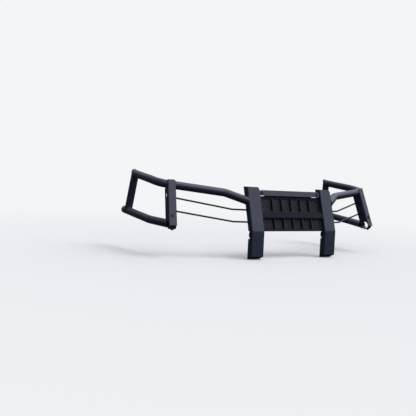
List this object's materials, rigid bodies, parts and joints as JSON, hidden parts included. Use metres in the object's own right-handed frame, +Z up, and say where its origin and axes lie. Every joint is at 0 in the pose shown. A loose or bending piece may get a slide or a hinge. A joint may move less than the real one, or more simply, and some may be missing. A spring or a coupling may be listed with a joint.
{
  "type": "front grille guard",
  "caption": "Bolt-on front grille guard for a utility side-by-side: wide uprights clamped to the bumper tube, crossbar, screen and tubular side wings with headlight rods.",
  "frame": {"origin": "where the axis of the bumper tube crosses the guard's middle plane", "axes": "+X along the bumper tube to the vehicle's left, -Y to the front of the vehicle, +Z up"},
  "size_m": [1.5556, 0.7069, 0.4648],
  "materials": {
    "plate_steel": "satin black powder coat",
    "tube_steel": "satin black powder coat",
    "rod_steel": "satin black powder coat",
    "strap_plate": "satin black powder coat",
    "mesh_sheet": "satin black powder coat",
    "fasteners": "black zinc plate",
    "plug_plastic": "moulded black"
  },
  "bodies": {
    "root": {"upright_left": "plate_steel", "upright_right": "plate_steel", "strap_bridges": "strap_plate", "top_crossbar": "plate_steel", "crossbar_ears": "strap_plate", "mid_rail": "plate_steel", "screen_frame": "plate_steel", "screen_mesh": "mesh_sheet", "debris_cloth": "mesh_sheet", "screen_blades": "mesh_sheet", "wing_tube_left": "tube_steel", "wing_tube_right": "tube_steel", "lower_tube_left": "tube_steel", "lower_tube_right": "tube_steel", "rear_post_left": "tube_steel", "rear_post_right": "tube_steel", "corner_bracket_left": "plate_steel", "corner_bracket_right": "plate_steel", "upper_rod_left": "rod_steel", "upper_rod_right": "rod_steel", "lower_rod_left": "rod_steel", "lower_rod_right": "rod_steel", "upright_strap_left": "strap_plate", "upright_strap_right": "strap_plate", "corner_strap_left": "strap_plate", "corner_strap_right": "strap_plate", "tube_end_plugs": "plug_plastic", "crossbar_bolts": "fasteners", "crossbar_nuts": "fasteners", "crossbar_washers": "fasteners", "strap_bolts": "fasteners", "strap_nuts": "fasteners", "corner_face_bolts": "fasteners", "corner_face_nuts": "fasteners", "corner_lock_screws": "fasteners", "rod_nuts_outer": "fasteners", "rod_bevel_washers": "fasteners", "rod_nuts_inner": "fasteners", "rod_washers": "fasteners", "screen_screws": "fasteners"}
  },
  "joints": []
}
